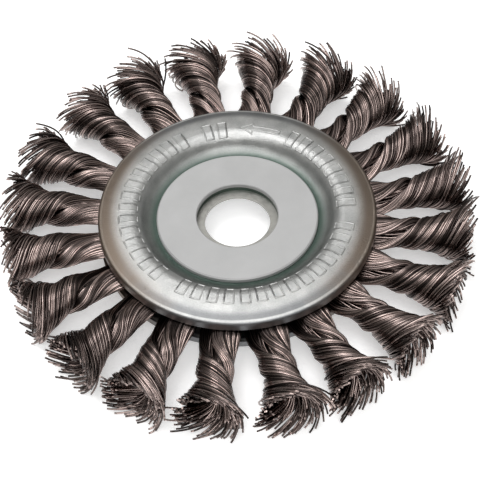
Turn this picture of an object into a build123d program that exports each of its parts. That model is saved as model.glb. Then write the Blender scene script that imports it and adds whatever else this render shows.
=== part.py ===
from build123d import *
import math
import os

# Twist-knot wire wheel: a pressed steel hub that grips twenty twisted bundles of steel wire.
# The wheel lies in the XY plane. The bore runs along Z, and the origin is the centre of the bore in
# the wheel's middle plane. Millimetres throughout.

# Bore and hub stack, as heights above the middle plane
BORE_R = 22.23 / 2             # locating bore for a grinder's 7/8 inch flange boss
SPINDLE_HOLE_R = 8.95          # smaller hole in the core disc, which the spindle passes through
CORE_T = 1.2                   # thickness of the core disc
PLATE_T = 1.2                  # sheet thickness of a face plate
WASHER_T = 1.35                # thickness of a clamping washer
WASHER_R = 22.0                # outer radius of a clamping washer
WASHER_CHAMFER = 0.35          # broken outer edge of a washer
BORE_CHAMFER = 0.2             # broken edge at the bore's mouth

# Face plate: a flat seat, a raised hollow ring over the folded wire, and a turned-down rim
SEAT_R = 22.6                  # where the flat seat begins to rise
CREST_R = 29.3                 # radius of the raised ring's highest line
CREST_Z = 6.35                 # height of that line, half the wheel's thickness
RIM_R = 37.8                   # outside radius of the plate
SHOULDER_R = 36.8              # where the ring's outer slope meets the rounded rim corner
SHOULDER_Z = 5.4
RIM_CORNER_Z = 4.5             # lower end of the rounded corner
RIM_Z = 2.6                    # lower edge of the rim

# Core disc and its wire holes
CORE_R = 31.8
HOLE_R = 2.35                  # hole that one bundle passes through
HOLE_CIRCLE_R = 28.4

# Knots
KNOT_COUNT = 20
FIRST_KNOT_DEG = 9.0           # angle of the first knot from +X, half a pitch
BUNDLE_R = 2.3                 # the bundle where it passes through its hole
LEG_WIDTH = 4.6                # one leg above or below the core disc
LEG_Z = 4.4                    # outer height of a leg inside the hollow ring
LEG_CLEARANCE = 0.02           # a leg's gap to the core disc
FOLD_REACH = 1.6               # how far the fold comes inwards from the hole's centre
FOLD_Z = 2.5                   # height of the fold's inner end
GRIP_START_R = 32.1            # from here the two legs lie side by side
GRIP_START_WIDTH = 9.2
GRIP_END_WIDTH = 11.2
GRIP_Z = 2.4                   # half height of the legs between the two rims
GRIP_ROUND = 1.9               # rounding along the grip's long edges
TWIST_START_R = 38.6           # the twisted stretch
TWIST_END_R = 55.5
TWIST_DEG = -205.0             # left-handed turn over that stretch
LOBE_R = 3.05                  # one twisted leg
LOBE_OFFSET = 2.15             # its centre line from the knot's axis
SPLAY_NECK_R = 4.9             # the knot where its cut ends begin to spread
SPLAY_R = 9.2                  # the spread ends
SPLAY_END_R = 63.6
SPLAY_CROWN = 1.4              # how far the brush face stands out in the middle


def ring_from_outline(outline):
    """A turned ring: a closed outline of (radius, height) swept once round the Z axis."""
    return revolve(make_face(Plane.XZ * outline), Axis.Z)


def hub_washer():
    """Flat washer that the grinder's flange clamps, with broken edges on its outer face."""
    base = CORE_T / 2 + PLATE_T
    washer = Pos(0, 0, base) * Cylinder(WASHER_R, WASHER_T, align=(Align.CENTER, Align.CENTER, Align.MIN))
    washer -= Cylinder(BORE_R, 4 * base)
    washer = chamfer(top_circles(washer)[0], WASHER_CHAMFER)
    return chamfer(top_circles(washer)[1], BORE_CHAMFER)


def top_circles(washer):
    """The circular edges of the highest face, the largest first."""
    face = washer.faces().sort_by(Axis.Z)[-1]
    return sorted(face.edges(), key=lambda edge: -edge.radius)


def face_plate():
    """Pressed plate, drawn as its outer skin and the same skin moved inwards by the sheet thickness."""
    seat_z = CORE_T / 2
    inner_crest_z = CREST_Z - PLATE_T
    inner_rim_r = RIM_R - PLATE_T
    inner_shoulder = (SHOULDER_R - PLATE_T, SHOULDER_Z - PLATE_T)
    crest_start = ((SEAT_R + CREST_R) / 2, (seat_z + PLATE_T + CREST_Z) / 2)
    inner_start = (crest_start[0] + PLATE_T / 2, crest_start[1] - PLATE_T)
    outer = Polyline((BORE_R, seat_z), (BORE_R, seat_z + PLATE_T), (SEAT_R, seat_z + PLATE_T))
    outer += TangentArc((SEAT_R, seat_z + PLATE_T), crest_start, tangent=(1, 0))
    outer += TangentArc((CREST_R, CREST_Z), crest_start, tangent=(-1, 0))
    outer += TangentArc((CREST_R, CREST_Z), (SHOULDER_R, SHOULDER_Z), tangent=(1, 0))
    outer += ThreePointArc((SHOULDER_R, SHOULDER_Z), corner_middle(), (RIM_R, RIM_CORNER_Z))
    outer += Polyline((RIM_R, RIM_CORNER_Z), (RIM_R, RIM_Z), (inner_rim_r, RIM_Z), inner_shoulder)
    outer += TangentArc((CREST_R, inner_crest_z), inner_shoulder, tangent=(1, 0))
    outer += TangentArc((CREST_R, inner_crest_z), inner_start, tangent=(-1, 0))
    outer += TangentArc((SEAT_R + PLATE_T / 2, seat_z), inner_start, tangent=(1, 0))
    outer += Line((SEAT_R + PLATE_T / 2, seat_z), (BORE_R, seat_z))
    return ring_from_outline(outer)


def corner_middle():
    """A point on the rounded rim corner, halfway round it."""
    reach = math.sqrt(0.5)
    return (SHOULDER_R + (RIM_R - SHOULDER_R) * reach, RIM_CORNER_Z + (SHOULDER_Z - RIM_CORNER_Z) * reach)


def core_disc():
    """Flat disc between the face plates, with one hole for each bundle of wire."""
    disc = Cylinder(CORE_R, CORE_T) - Cylinder(SPINDLE_HOLE_R, 2 * CORE_T)
    hole = Pos(HOLE_CIRCLE_R, 0, 0) * Cylinder(HOLE_R, 2 * CORE_T)
    return disc - [Rot(0, 0, angle) * hole for angle in knot_angles()]


def knot_angles():
    """Where the knots stand round the wheel, in degrees from +X."""
    return [FIRST_KNOT_DEG + index * 360 / KNOT_COUNT for index in range(KNOT_COUNT)]


def knot_root():
    """The bundle folded round the core disc: a plug in the hole, and a leg on each side of the disc."""
    leg_base = CORE_T / 2 + LEG_CLEARANCE
    leg_start = HOLE_CIRCLE_R - FOLD_REACH
    leg_end = GRIP_START_R + GRIP_ROUND / 2
    side_view = Polyline((leg_start, leg_base), (leg_start, FOLD_Z), (HOLE_CIRCLE_R, LEG_Z), (leg_end, LEG_Z),
                         (leg_end, leg_base), close=True)
    upper = extrude(make_face(Plane.XZ * side_view), amount=LEG_WIDTH / 2, both=True)
    plug = Pos(HOLE_CIRCLE_R, 0, 0) * Cylinder(BUNDLE_R, 2 * CORE_T)
    return plug + upper + mirror(upper, about=Plane.XY)


def knot_grip():
    """The two legs side by side, pressed flat between the rims of the face plates."""
    inner = Plane.YZ.offset(GRIP_START_R) * RectangleRounded(GRIP_START_WIDTH, 2 * GRIP_Z, GRIP_ROUND)
    outer = Plane.YZ.offset(TWIST_START_R) * RectangleRounded(GRIP_END_WIDTH, 2 * GRIP_Z, GRIP_ROUND)
    return loft([inner, outer])


def knot_twist():
    """The two legs twisted together: two round sections that overlap, turned about the knot's axis."""
    lobes = Pos(0, LOBE_OFFSET) * Circle(LOBE_R) + Pos(0, -LOBE_OFFSET) * Circle(LOBE_R)
    length = TWIST_END_R - TWIST_START_R
    upright = Solid.extrude_linear_with_rotation(lobes.face(), (0, 0, 0), (0, 0, length), TWIST_DEG)
    return Pos(TWIST_START_R, 0, 0) * Rot(0, 90, 0) * upright


def knot_splay():
    """The cut ends, spread into a short cone with a slightly crowned face."""
    crown_top = (0, SPLAY_END_R + SPLAY_CROWN)
    outline = Polyline(crown_top, (0, TWIST_END_R), (SPLAY_NECK_R, TWIST_END_R), (SPLAY_R, SPLAY_END_R))
    outline += TangentArc(crown_top, (SPLAY_R, SPLAY_END_R), tangent=(1, 0))
    cone = revolve(make_face(outline), Axis.Y)
    return Rot(0, 0, -90) * cone


def knot():
    """One whole knot along +X: root, grip, twisted stretch and spread ends as one solid."""
    return knot_root() + knot_grip() + knot_twist() + knot_splay()


def save(shape, node):
    """Write one node's STEP file."""
    export_step(shape, os.path.join("parts", node + ".step"))


def main():
    os.makedirs("parts", exist_ok=True)
    washer = hub_washer()
    plate = face_plate()
    turn_over = Rot(180, 0, 0)
    save(washer, "hub_washer_top")
    save(turn_over * washer, "hub_washer_bottom")
    save(plate, "face_plate_top")
    save(turn_over * plate, "face_plate_bottom")
    save(core_disc(), "core_disc")
    one_knot = knot()
    for number, angle in enumerate(knot_angles(), start=1):
        save(Rot(0, 0, angle) * one_knot, f"knot_{number:02d}")


main()
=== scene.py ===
import math
import random

import bpy
import numpy as np
from mathutils import Matrix, Vector


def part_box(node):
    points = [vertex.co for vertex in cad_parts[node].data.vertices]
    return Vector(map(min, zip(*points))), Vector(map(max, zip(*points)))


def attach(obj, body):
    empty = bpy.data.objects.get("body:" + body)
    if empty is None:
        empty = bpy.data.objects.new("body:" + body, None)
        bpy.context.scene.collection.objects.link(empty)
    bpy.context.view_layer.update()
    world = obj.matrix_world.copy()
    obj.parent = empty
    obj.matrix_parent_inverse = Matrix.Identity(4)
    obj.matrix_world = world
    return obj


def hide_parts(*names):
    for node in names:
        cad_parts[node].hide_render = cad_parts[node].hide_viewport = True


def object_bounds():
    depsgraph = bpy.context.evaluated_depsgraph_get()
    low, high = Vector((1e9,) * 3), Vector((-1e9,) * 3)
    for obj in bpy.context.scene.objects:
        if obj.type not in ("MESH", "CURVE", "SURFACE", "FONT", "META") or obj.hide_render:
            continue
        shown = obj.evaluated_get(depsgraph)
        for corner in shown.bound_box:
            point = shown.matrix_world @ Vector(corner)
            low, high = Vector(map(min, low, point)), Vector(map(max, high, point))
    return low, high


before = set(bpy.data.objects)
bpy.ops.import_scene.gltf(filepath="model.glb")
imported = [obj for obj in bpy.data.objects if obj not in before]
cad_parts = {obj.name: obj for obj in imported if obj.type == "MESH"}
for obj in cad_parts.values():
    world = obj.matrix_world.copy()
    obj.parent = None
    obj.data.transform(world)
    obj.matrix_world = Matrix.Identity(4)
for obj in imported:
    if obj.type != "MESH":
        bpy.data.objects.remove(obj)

cad_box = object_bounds()
MM = 0.001

# ---------------------------------------------------------------------------------------------
# Camera: a long lens a forearm's length away, looking down at the wheel from one side at about
# fifty degrees, and turned a little about its own line of sight.
# ---------------------------------------------------------------------------------------------
VIEW_AZIMUTH = math.radians(0.25)
VIEW_HEIGHT = math.radians(51.3)
VIEW_ROLL = math.radians(-2.6)
VIEW_DISTANCE = 350 * MM
LENS_MM = 98.0
SENSOR_MM = 36.0

hub_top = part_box("hub_washer_top")[1][2]
looked_at = Vector((0.4 * MM, -8.8 * MM, hub_top))
ahead = Vector((math.sin(VIEW_AZIMUTH), math.cos(VIEW_AZIMUTH), 0))
sight = math.cos(VIEW_HEIGHT) * ahead - math.sin(VIEW_HEIGHT) * Vector((0, 0, 1))
level = Vector((math.cos(VIEW_AZIMUTH), -math.sin(VIEW_AZIMUTH), 0))
upward = level.cross(sight)
camera_right = math.cos(VIEW_ROLL) * level + math.sin(VIEW_ROLL) * upward
camera_up = math.cos(VIEW_ROLL) * upward - math.sin(VIEW_ROLL) * level
camera_data = bpy.data.cameras.new("view_camera")
camera_data.lens = LENS_MM
camera_data.sensor_width = SENSOR_MM
camera_data.clip_start = 10 * MM
camera = bpy.data.objects.new("view_camera", camera_data)
bpy.context.collection.objects.link(camera)
turn = Matrix((camera_right, camera_up, -sight)).transposed().to_4x4()
camera.matrix_world = Matrix.Translation(looked_at - VIEW_DISTANCE * sight) @ turn
bpy.context.scene.camera = camera


# ---------------------------------------------------------------------------------------------
# Floor: a sheet of matt white card that the wheel lies on, far wider than the view, which gives
# off a little light of its own. The classes here write its shader, and every other one, as sums.
# ---------------------------------------------------------------------------------------------
class Value:
    """A number that changes over a surface. Sums with it add Math nodes to its shading."""

    def __init__(self, shading, socket):
        self.shading = shading
        self.socket = socket

    def sum(self, operation, *terms):
        return self.shading.node("Math", {"operation": operation}, dict(enumerate(terms)))

    def __add__(self, other):
        return self.sum("ADD", self, other)

    def __radd__(self, other):
        return self.sum("ADD", other, self)

    def __sub__(self, other):
        return self.sum("SUBTRACT", self, other)

    def __rsub__(self, other):
        return self.sum("SUBTRACT", other, self)

    def __mul__(self, other):
        return self.sum("MULTIPLY", self, other)

    def __rmul__(self, other):
        return self.sum("MULTIPLY", other, self)


class Shading:
    """A node tree under construction."""

    def __init__(self, tree):
        self.tree = tree

    def feed(self, node, sockets):
        """Give a node's sockets their values or links, by name or number."""
        for name, value in sockets.items():
            if isinstance(value, Value):
                self.tree.links.new(value.socket, node.inputs[name])
            else:
                node.inputs[name].default_value = value

    def node(self, kind, settings, sockets, output=0):
        """Add a node, set it up, feed it, and return one of its outputs."""
        added = self.tree.nodes.new("ShaderNode" + kind)
        stops = settings.pop("stops", None)
        for name, value in settings.items():
            setattr(added, name, value)
        if stops:
            ramp = added.color_ramp.elements
            while len(ramp) < len(stops):
                ramp.new(1)
            for element, (position, colour) in zip(ramp, stops):
                element.position = position
                element.color = (*colour, 1)
        self.feed(added, sockets)
        return Value(self, added.outputs[output])


class Finish(Shading):
    """A material under construction, with its Principled shader."""

    def __init__(self, name, constants):
        self.data = bpy.data.materials.new(name)
        self.data.use_nodes = True
        super().__init__(self.data.node_tree)
        self.shader = self.tree.nodes["Principled BSDF"]
        self.feed(self.shader, constants)

    def noise(self, scale, detail=2, roughness=0.5, stretch=(1, 1, 1)):
        """Soft random blotches in the object's own space, scale in blotches per metre."""
        place = self.node("TexCoord", {}, {}, "Object")
        place = self.node("Mapping", {}, {"Vector": place, "Scale": stretch})
        sockets = {"Vector": place, "Scale": scale, "Detail": detail, "Roughness": roughness}
        return self.node("TexNoise", {}, sockets, "Fac")

    def between(self, value, low, high):
        """Zero below low, one above high, and smooth from one to the other."""
        settings = {"interpolation_type": "SMOOTHSTEP", "clamp": True}
        return self.node("MapRange", settings, {"Value": value, "From Min": low, "From Max": high})

    def mix(self, factor, first, second):
        """Mix two colours."""
        return self.node("Mix", {"data_type": "RGBA"}, {0: factor, 6: first, 7: second}, 2)

    def bump(self, height, strength, depth):
        """A normal from a height, which is one unit for depth metres."""
        return self.node("Bump", {}, {"Height": height, "Strength": strength, "Distance": depth})

    def radius(self):
        """Distance from the wheel's axis, in metres."""
        place = self.node("TexCoord", {}, {}, "Object")
        flat = self.node("VectorMath", {"operation": "MULTIPLY"}, {0: place, 1: (1, 1, 0)})
        return self.node("VectorMath", {"operation": "LENGTH"}, {0: flat}, "Value")


FLOOR_HALF = 3.0
FLOOR_RISE = 1.0 * MM
floor_mesh = bpy.data.meshes.new("studio_floor")
floor_z = cad_box[0][2] + FLOOR_RISE
corners = [(x * FLOOR_HALF, y * FLOOR_HALF, floor_z) for x, y in ((-1, -1), (1, -1), (1, 1), (-1, 1))]
floor_mesh.from_pydata(corners, [], [(0, 1, 2, 3)])
floor = bpy.data.objects.new("studio_floor", floor_mesh)
bpy.context.collection.objects.link(floor)
white_card = Finish("white_card", {"Base Color": (0.9, 0.9, 0.9, 1), "Roughness": 0.9,
                                   "Emission Color": (1, 1, 1, 1), "Emission Strength": 0.36})
floor_mesh.materials.append(white_card.data)


# ---------------------------------------------------------------------------------------------
# Light: a large soft box in front of the wheel, a smaller one overhead to the left, and a room
# with a dark band between its ceiling and its horizon, which plated steel shows as soft bands.
# ---------------------------------------------------------------------------------------------
def soft_box(name, place, size, power):
    """A square area light that faces the wheel."""
    data = bpy.data.lights.new(name, "AREA")
    data.shape = "SQUARE"
    data.size = size
    data.energy = power
    light = bpy.data.objects.new(name, data)
    light.location = place
    light.rotation_euler = Vector(place).to_track_quat("Z", "Y").to_euler()
    bpy.context.collection.objects.link(light)


soft_box("front_box", (0.04, -0.46, 0.66), 0.60, 2.8)
soft_box("top_box", (-0.20, 0.14, 0.76), 0.48, 3.1)

world = bpy.data.worlds.new("studio_room")
bpy.context.scene.world = world
world.use_nodes = True
room = Shading(world.node_tree)
direction = room.node("TexCoord", {}, {}, "Generated")
height = room.node("SeparateXYZ", {}, {0: direction}, "Z")
room_tones = [(0.00, (0.50, 0.50, 0.50)), (0.10, (0.45, 0.45, 0.45)), (0.22, (0.10, 0.12, 0.11)),
              (0.40, (0.34, 0.33, 0.31)), (0.65, (0.60, 0.60, 0.59)), (1.00, (0.75, 0.75, 0.75))]
tones = room.node("ValToRGB", {"stops": room_tones}, {0: height})
room.feed(world.node_tree.nodes["Background"], {"Color": tones, "Strength": 1.0})
bpy.context.scene.view_settings.view_transform = "Standard"


# ---------------------------------------------------------------------------------------------
# Core disc: flat blanked steel with a satin plating. Only its bore's edge shows, as the ledge
# inside the hub's opening.
# ---------------------------------------------------------------------------------------------
def refinish(node, finish):
    """Give a CAD node a new material in all its slots."""
    for slot in bpy.data.objects[node].material_slots:
        slot.material = finish.data


core_finish = Finish("satin_steel", {"Metallic": 1.0})
blotch = core_finish.noise(900, 4)
core_finish.feed(core_finish.shader, {
    "Base Color": core_finish.mix(blotch, (0.28, 0.275, 0.255, 1), (0.42, 0.415, 0.39, 1)),
    "Roughness": 0.30 + 0.25 * blotch,
    "Normal": core_finish.bump(core_finish.noise(4000, 3), 0.3, 0.02 * MM)})
refinish("core_disc", core_finish)


# ---------------------------------------------------------------------------------------------
# Knots: each one a bundle of hard drawn 0.5 mm steel wires, folded through the core disc and held
# between the plates. Its two legs are twisted together left-handed, and the cut ends spring open.
# Sizes are in millimetres, and x is the distance from the wheel's axis.
# ---------------------------------------------------------------------------------------------
KNOTS = 20
WIRE_R = 0.25
WIRE_SIDES = 6
WIRE_PITCH = 0.70
LAYER = 0.48
ROOT_X = 34.8
LOOSE_X = 47.0
TIP_X = 63.8
STEP = 0.95
LOOSE_STEP = 0.5
LEG_RADIAL = 2.7
LEG_TANGENT = 3.7
LEG_OFFSET = 2.35
NECK_R = 4.6
ROOT_HALF_WIDTH = 3.9
ROOT_HALF_HEIGHT = 1.15
ROOT_CENTRE = (1.6, 1.2)
ROOT_ANGLE = math.radians(18)
TWIST_BODY = math.radians(12.5)
TWIST_NECK = math.radians(22.0)
TWIST_ENDS = math.radians(10.5)
TWIST_BEGINS = (39.5, 49.0)
TWIST_TIGHTENS = (46.0, 53.0)
TWIST_SLOWS = (56.0, 62.0)
TWIST_GRID = np.linspace(ROOT_X, TIP_X + 5, 300)
RIBBON_ROUNDS = (37.5, 49.0)
LEGS_MERGE = (46.0, 54.0)
NECK_FILL = 0.42
NECK_SPREAD = math.radians(94)
OPENING_CURVE = 1.5
RING_R = 8.3
RING_HALF = 1.7
CUP_DEPTH = 3.0
CORE_SHARE = 0.68
CORE_INSET = 0.2
CORE_END_X = 55.0
CORE_SIDES = 16
MIDDLE_R = 1.5
MIDDLE_WIRES = 14
MIDDLE_SPREAD = 1.5
MIDDLE_END_X = LOOSE_X + 3
LAYERS_FROM_ROOT = 2
END_SCATTER = 0.5
RING_SCATTER = (0.45, 0.16)
SWAY_WAVES = (0.45, 0.9)
SWAY_POWER = 0.2
SWAY_HELD = 0.05
SWAY_LOOSE = 0.24
SWAY_GROWS = (52.0, TIP_X + 1)
BOW = 0.1
BOW_GROWS = (37.0, 41.0)
STRAY_SHARE = 0.07
STRAY_BOW = (0.6, 2.0)
STRAY_GROWS = (49.0, TIP_X + 1)
STRAY_CURVE = 1.2
ROUGHLY_UP = (0.31, 0.17, 0.93)
DARKEST_TONE = 0.04
TONE_CURVE = 1.5
lowest_wire = floor_z / MM + WIRE_R


def smooth(values, low, high):
    """Zero below low, one above high, and smooth from one to the other."""
    t = np.clip((values - low) / (high - low), 0, 1)
    return t * t * (3 - 2 * t)


def leg_section():
    """The wires of one leg, layer inside layer: places in a disc of radius one, and depths."""
    places = []
    for layer in range(int((LEG_RADIAL - WIRE_R) / LAYER)):
        tangent = LEG_TANGENT - WIRE_R - layer * LAYER
        radial = LEG_RADIAL - WIRE_R - layer * LAYER
        count = round(2 * math.pi * math.hypot(tangent, radial) / math.sqrt(2) / WIRE_PITCH)
        for number in range(count):
            turn = 2 * math.pi * (number + 0.5 * (layer % 2)) / count
            places.append((math.cos(turn) * tangent / (LEG_TANGENT - WIRE_R),
                           math.sin(turn) * radial / (LEG_RADIAL - WIRE_R), layer))
    return places


def twist_angle(x, wildness):
    """How far the legs have turned at a distance x from the wheel's axis."""
    tighten = smooth(TWIST_GRID, *TWIST_TIGHTENS)
    slow_down = smooth(TWIST_GRID, *TWIST_SLOWS)
    speed = TWIST_BODY + (TWIST_NECK - TWIST_BODY) * tighten + (TWIST_ENDS - TWIST_NECK) * slow_down
    speed = speed * smooth(TWIST_GRID, *TWIST_BEGINS)
    turned = np.concatenate(([0], np.cumsum(speed[:-1]) * (TWIST_GRID[1] - TWIST_GRID[0])))
    return -np.interp(x, TWIST_GRID, turned) * wildness


def course(across, out, leg, knot, x, scatter):
    """Where a place in a leg's section runs: its y and z along x, and its angle round the knot."""
    angle = ROOT_ANGLE + math.pi * leg + knot["phase"] + twist_angle(x, knot["turns"])
    body_radial = LEG_OFFSET + (LEG_RADIAL - WIRE_R) * out
    body_tangent = (LEG_TANGENT - WIRE_R) * across
    body_r = math.hypot(body_radial, body_tangent)
    body_delta = math.atan2(body_tangent, body_radial)
    level = max(-1.0, min(1.0, out))
    inside = 1 - (math.acos(level) - level * math.sqrt(1 - level * level)) / math.pi
    neck_r = NECK_R * inside ** NECK_FILL
    neck_delta = NECK_SPREAD * across
    merge = smooth(x, *LEGS_MERGE)
    open_up = np.clip((x - knot["neck"]) / (TIP_X - knot["neck"]), 0, None) ** OPENING_CURVE
    ring_r = (RING_R + RING_HALF * out + scatter[0]) * knot["flare"]
    ring_delta = neck_delta + scatter[1]
    r = body_r + (neck_r - body_r) * merge
    r = r + (ring_r - r) * open_up
    delta = body_delta + (neck_delta - body_delta) * merge
    delta = delta + (ring_delta - delta) * open_up
    y = r * np.cos(angle + delta)
    z = r * np.sin(angle + delta)
    side = 1 - 2 * leg
    root_y = side * (ROOT_CENTRE[0] - (ROOT_HALF_WIDTH - WIRE_R) * across)
    root_z = side * (ROOT_CENTRE[1] + (ROOT_HALF_HEIGHT - WIRE_R) * out)
    held = 1 - smooth(x, *RIBBON_ROUNDS)
    y = y * (1 - held) + root_y * held + (x - ROOT_X) * knot["lean_side"]
    z = z * (1 - held) + root_z * held + (x - ROOT_X) * knot["lean_up"]
    return y, z, angle + delta


def wire_path(across, out, leg, knot, chance, x):
    """One wire's centre line in the knot's own frame: x outwards, y round the wheel, z up."""
    scatter = [chance.gauss(0, spread) for spread in RING_SCATTER]
    y, z, angle = course(across, out, leg, knot, x, scatter)
    sway = SWAY_HELD + SWAY_LOOSE * smooth(x, *SWAY_GROWS)
    for wave in SWAY_WAVES:
        reach = sway * math.sqrt(SWAY_POWER / wave)
        y += reach * np.sin(wave * x + chance.uniform(0, 2 * math.pi))
        z += reach * np.sin(wave * x + chance.uniform(0, 2 * math.pi))
    bow = BOW * chance.uniform(-1, 1) * smooth(x, *BOW_GROWS)
    if chance.random() < STRAY_SHARE:
        bow = bow + chance.uniform(*STRAY_BOW) * smooth(x, *STRAY_GROWS) ** STRAY_CURVE
    y += bow * np.cos(angle)
    z += bow * np.sin(angle)
    return np.stack([x, y, np.maximum(z, lowest_wire)], axis=1)


def tube(points, radius):
    """Corners of a round wire along a path, ring after ring."""
    along = np.gradient(points, axis=0)
    along /= np.linalg.norm(along, axis=1)[:, None]
    first = np.cross(along, ROUGHLY_UP)
    first /= np.linalg.norm(first, axis=1)[:, None]
    second = np.cross(along, first)
    turns = np.arange(WIRE_SIDES) * 2 * math.pi / WIRE_SIDES
    return (points[:, None] + radius * (np.cos(turns)[None, :, None] * first[:, None]
                                        + np.sin(turns)[None, :, None] * second[:, None]))


def painted_shade_core(leg, knot):
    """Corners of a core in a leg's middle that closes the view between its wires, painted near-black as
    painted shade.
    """
    x = np.arange(ROOT_X + CORE_INSET, CORE_END_X, STEP)
    sides = []
    for side in range(CORE_SIDES):
        turn = 2 * math.pi * side / CORE_SIDES
        y, z, _ = course(CORE_SHARE * math.cos(turn), CORE_SHARE * math.sin(turn), leg, knot, x, (0, 0))
        sides.append(np.stack([x, y, z], axis=1))
    return np.stack(sides, axis=1)


class Strands:
    """A mesh under construction from many tubes, each with a tone of its own."""

    def __init__(self):
        self.corners, self.faces, self.rounded, self.tones = [], [], [], []
        self.count = 0

    def add(self, rings, tone=0.0):
        """Add one tube, given the rings of its corners: its sides as quads, and its two ends."""
        count, sides = rings.shape[:2]
        ring, side = np.meshgrid(np.arange(count - 1) * sides, np.arange(sides), indexing="ij")
        after = (side + 1) % sides
        quads = np.stack([ring + side, ring + after, ring + sides + after, ring + sides + side], axis=-1)
        quads = (quads.reshape(-1, 4) + self.count).tolist()
        last = self.count + (count - 1) * sides
        self.faces += quads + [list(range(self.count, self.count + sides))[::-1],
                               list(range(last, last + sides))]
        self.corners.append(rings.reshape(-1, 3))
        self.rounded += [True] * len(quads) + [False, False]
        self.tones += [tone] * (count * sides)
        self.count += count * sides

    def piece(self, name, finish, turn):
        """The finished object, in metres, turned by a 3 by 3 matrix."""
        places = np.concatenate(self.corners) @ np.array(turn.transposed()) * MM
        mesh = bpy.data.meshes.new(name)
        mesh.from_pydata(places.tolist(), [], self.faces)
        mesh.polygons.foreach_set("use_smooth", self.rounded)
        mesh.attributes.new("wire_tone", "FLOAT", "POINT").data.foreach_set("value", self.tones)
        mesh.materials.append(finish.data)
        made = bpy.data.objects.new(name, mesh)
        bpy.context.collection.objects.link(made)
        return made


wire_finish = Finish("drawn_wire", {"Metallic": 1.0})
tone = wire_finish.node("Attribute", {"attribute_name": "wire_tone"}, {}, "Fac")
grime = wire_finish.noise(700, 3)
grimy = (0.05, 0.036, 0.030, 1)
# Tone zero is near-black: painted shade on the leg cores and the middle rod. The wires' random tones run
# from it to light.
wire_colour_and_shade = wire_finish.mix(tone, (0.005, 0.004, 0.004, 1), (0.60, 0.475, 0.44, 1))
wire_finish.feed(wire_finish.shader, {
    "Base Color": wire_finish.mix(0.5 * grime, wire_colour_and_shade, grimy),
    "Roughness": 0.15 + 0.12 * grime})


def build_knot(node, seed):
    """All the wires of one knot as one mesh that stands for its CAD solid."""
    chance = random.Random(seed)
    knot = {"phase": math.radians(chance.gauss(0, 6)), "turns": chance.uniform(0.94, 1.06),
            "neck": chance.uniform(51.0, 53.0), "flare": chance.uniform(0.95, 1.06),
            "lean_side": chance.gauss(0, 0.018), "lean_up": chance.gauss(0.03, 0.010)}
    strands = Strands()
    # The leg cores and the middle rod take tone zero, near-black: painted shade between the wires.
    for leg in (0, 1):
        strands.add(painted_shade_core(leg, knot))
    strands.add(tube(np.array([(x, 0, 0) for x in (ROOT_X, CORE_END_X)]), MIDDLE_R))
    x = np.arange(ROOT_X, MIDDLE_END_X, STEP)
    for number in range(MIDDLE_WIRES):
        angle = 2 * math.pi * number / MIDDLE_WIRES + twist_angle(x, knot["turns"])
        r = MIDDLE_R + WIRE_R / 2
        path = np.stack([x, MIDDLE_SPREAD * r * np.cos(angle), r * np.sin(angle)], axis=1)
        strands.add(tube(path, WIRE_R), 0.1 + 0.7 * chance.random())
    for leg in (0, 1):
        for across, out, layer in leg_section():
            end = TIP_X + chance.gauss(0, END_SCATTER) - CUP_DEPTH * (1 - out) / 2
            x = np.arange(LOOSE_X, end, LOOSE_STEP)
            if layer < LAYERS_FROM_ROOT:
                x = np.concatenate((np.arange(ROOT_X, LOOSE_X - STEP / 2, STEP), x))
            path = wire_path(across, out, leg, knot, chance, x)
            tone = DARKEST_TONE + (1 - DARKEST_TONE) * chance.random() ** TONE_CURVE
            strands.add(tube(path, WIRE_R), tone)
    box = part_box(node)
    heading = math.atan2(box[0][1] + box[1][1], box[0][0] + box[1][0])
    pitch = 2 * math.pi / KNOTS
    heading = (math.floor(heading / pitch) + 0.5) * pitch
    piece = strands.piece(node + "_wires", wire_finish, Matrix.Rotation(heading, 3, "Z"))
    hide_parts(node)
    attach(piece, "root")


FIRST_SEED = 4101
for number in range(KNOTS):
    build_knot(f"knot_{number + 1:02d}", FIRST_SEED + number)


# ---------------------------------------------------------------------------------------------
# Face plates: two sheet steel pressings, bright zinc plated, whose raised ring covers the folded
# wire. Their colour is partly painted light: the groove is dark green, partly greenish plating and
# partly painted shade; the outer slope and skirt carry painted shade, the rim's bend a painted
# highlight, and the outer slope at two sides a painted brown reflection.
# ---------------------------------------------------------------------------------------------
GROOVE_ENDS = (22.5 * MM, 26.5 * MM)
SIDE_REFLECTION_RADII = (30.8 * MM, 35.5 * MM)
SIDE_REFLECTION_SPAN = (20 * MM, 40 * MM)
# Radii of painted light on the rim: shade on the outer slope, a highlight line on the bend, shade on the
# skirt.
SLOPE_SHADE_RADII = (33.6 * MM, 35.8 * MM)
BEND_HIGHLIGHT_RADII = (36.5 * MM, 36.8 * MM)
SKIRT_SHADE_RADII = (37.1 * MM, 37.5 * MM)
groove_green_and_shade = (0.05, 0.08, 0.065, 1)
slope_shade_grey = (0.12, 0.125, 0.135, 1)
reflection_brown = (0.185, 0.140, 0.105, 1)

plate_finish = Finish("bright_zinc", {"Metallic": 1.0})
cloud = plate_finish.noise(260, 4)
speck = plate_finish.noise(2600, 3)
scuff = plate_finish.noise(1500, 5, 0.7, (1, 3, 1))
r_out = plate_finish.radius()
groove = 1 - plate_finish.between(r_out, *GROOVE_ENDS)
slope_shade = plate_finish.between(r_out, *SLOPE_SHADE_RADII)
bend_highlight = plate_finish.between(r_out, *BEND_HIGHLIGHT_RADII)
skirt_shade = plate_finish.between(r_out, *SKIRT_SHADE_RADII)
place = plate_finish.node("TexCoord", {}, {}, "Object")
either_side = plate_finish.node("VectorMath", {"operation": "ABSOLUTE"}, {0: place})
sideways = plate_finish.node("SeparateXYZ", {}, {0: either_side}, "X")
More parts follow.
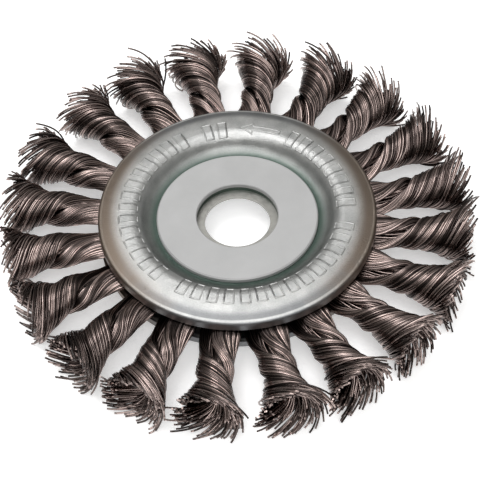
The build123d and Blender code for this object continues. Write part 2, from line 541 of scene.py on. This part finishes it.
# Painted reflection: the outer slope is painted darker brown at the left and right sides, with a cloudy
# edge.
side_reflection = plate_finish.between(sideways + 12 * MM * cloud, *SIDE_REFLECTION_SPAN)
side_reflection = plate_finish.between(r_out, *SIDE_REFLECTION_RADII) * side_reflection
zinc = plate_finish.mix(1.6 * cloud + 0.9 * speck - 0.75, (0.36, 0.365, 0.36, 1), (0.57, 0.57, 0.56, 1))
# Painted shade and plating: the groove beside the washer is painted dark green, partly greenish plating
# pooled there and partly the recess's shade.
zinc = plate_finish.mix(0.95 * groove, zinc, groove_green_and_shade)
# Painted light by radius: the outer slope and the skirt are painted darker grey as painted shade, and a
# thin line on the rim's bend is left light as a painted highlight.
zinc = plate_finish.mix(0.7 * slope_shade - 0.7 * bend_highlight + 0.75 * skirt_shade, zinc, slope_shade_grey)
# Painted reflection, brown, on the outer slope at two sides.
zinc = plate_finish.mix(0.85 * side_reflection, zinc, reflection_brown)
plate_finish.feed(plate_finish.shader, {
    "Base Color": zinc,
    "Roughness": 0.27 + 0.14 * cloud + 0.10 * speck,
    "Normal": plate_finish.bump(cloud + 0.6 * speck + 1.3 * scuff, 0.8, 0.10 * MM)})
for node in ("face_plate_top", "face_plate_bottom"):
    refinish(node, plate_finish)


# ---------------------------------------------------------------------------------------------
# Stamping on the face plates: raised outlines of plain panels in three groups over the crest, and
# a plain curved arrow in a gap between them. Each raised line is pressed up with the sheet.
# ---------------------------------------------------------------------------------------------
PANEL_PLACES = 45
PANEL_GROUP = 15
PANEL_PITCH = 2 * math.pi / PANEL_PLACES
PANEL_INNER_R = 27.0
PANEL_OUTER_R = 32.0
PANEL_HALF_ANGLE = math.radians(2.3)
RIDGE_R = 0.27
RIDGE_SUNK = 0.09
RIDGE_STEP = 0.4
ABOVE_PLATE = 20.0
ARROW_R = 29.6
ARROW_HALF_WIDTH = 0.7
ARROW_HEAD_HALF_WIDTH = 1.9
ARROW_START = math.radians(64)
ARROW_HEAD_START = math.radians(79)
ARROW_END = math.radians(86)
ARROW_STEPS = 6


def skin_height(node, x, y, above):
    """Height of a plate's outer skin at a place, in millimetres."""
    start = Vector((x, y, above * ABOVE_PLATE)) * MM
    return bpy.data.objects[node].ray_cast(start, Vector((0, 0, -above)))[1][2] / MM


def ridge(strands, outline, node, above):
    """A closed raised line that follows the plate's skin, drawn as a list of (radius, angle)."""
    closed = outline + outline[:2]
    flat = []
    for (r0, a0), (r1, a1) in zip(closed, closed[1:]):
        steps = max(1, round(math.hypot(r1 - r0, r0 * (a1 - a0)) / RIDGE_STEP))
        flat += [(r0 + (r1 - r0) * step / steps, a0 + (a1 - a0) * step / steps) for step in range(steps)]
    points = []
    for r, angle in flat:
        x, y = r * math.cos(angle), r * math.sin(angle)
        points.append((x, y, skin_height(node, x, y, above) - above * RIDGE_SUNK))
    strands.add(tube(np.array(points), RIDGE_R))


def panel_outline(angle):
    """An upright panel with square corners, a little wider at its outer end."""
    return [(r, angle + side * PANEL_HALF_ANGLE) for r, side in
            ((PANEL_INNER_R, -1), (PANEL_OUTER_R, -1), (PANEL_OUTER_R, 1), (PANEL_INNER_R, 1))]


def arrow_outline():
    """A curved arrow along the crest, pointing the way the angle grows."""
    length = ARROW_HEAD_START - ARROW_START
    tail = [ARROW_START + length * step / ARROW_STEPS for step in range(ARROW_STEPS + 1)]
    outer = [(ARROW_R + ARROW_HALF_WIDTH, angle) for angle in tail]
    inner = [(ARROW_R - ARROW_HALF_WIDTH, angle) for angle in reversed(tail)]
    head = [(ARROW_R + ARROW_HEAD_HALF_WIDTH, ARROW_HEAD_START), (ARROW_R, ARROW_END),
            (ARROW_R - ARROW_HEAD_HALF_WIDTH, ARROW_HEAD_START)]
    return outer + head + inner


for node, above in (("face_plate_top", 1), ("face_plate_bottom", -1)):
    stamping = Strands()
    for number in range(PANEL_PLACES):
        angle = number * PANEL_PITCH
        beside_arrow = ARROW_START - PANEL_PITCH < angle < ARROW_END + PANEL_PITCH
        if not beside_arrow and (number + 1) % PANEL_GROUP:
            ridge(stamping, panel_outline(above * angle), node, above)
    ridge(stamping, [(r, above * angle) for r, angle in arrow_outline()], node, above)
    piece = stamping.piece(node + "_stamping", plate_finish, Matrix.Identity(3))
    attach(piece, "root")


# ---------------------------------------------------------------------------------------------
# Hub washers: steel rings with a matt zinc plating, one on each face, which the grinder's flanges
# clamp. Their faces are flat and their edges are broken.
# ---------------------------------------------------------------------------------------------
washer_finish = Finish("matt_zinc", {"Metallic": 0.7})
grain = washer_finish.noise(5200, 3)
haze = washer_finish.noise(160, 2)
washer_finish.feed(washer_finish.shader, {
    "Base Color": washer_finish.mix(haze, (0.43, 0.43, 0.43, 1), (0.50, 0.50, 0.50, 1)),
    "Roughness": 0.62 + 0.12 * grain,
    "Normal": washer_finish.bump(grain, 0.5, 0.02 * MM)})
for node in ("hub_washer_top", "hub_washer_bottom"):
    refinish(node, washer_finish)
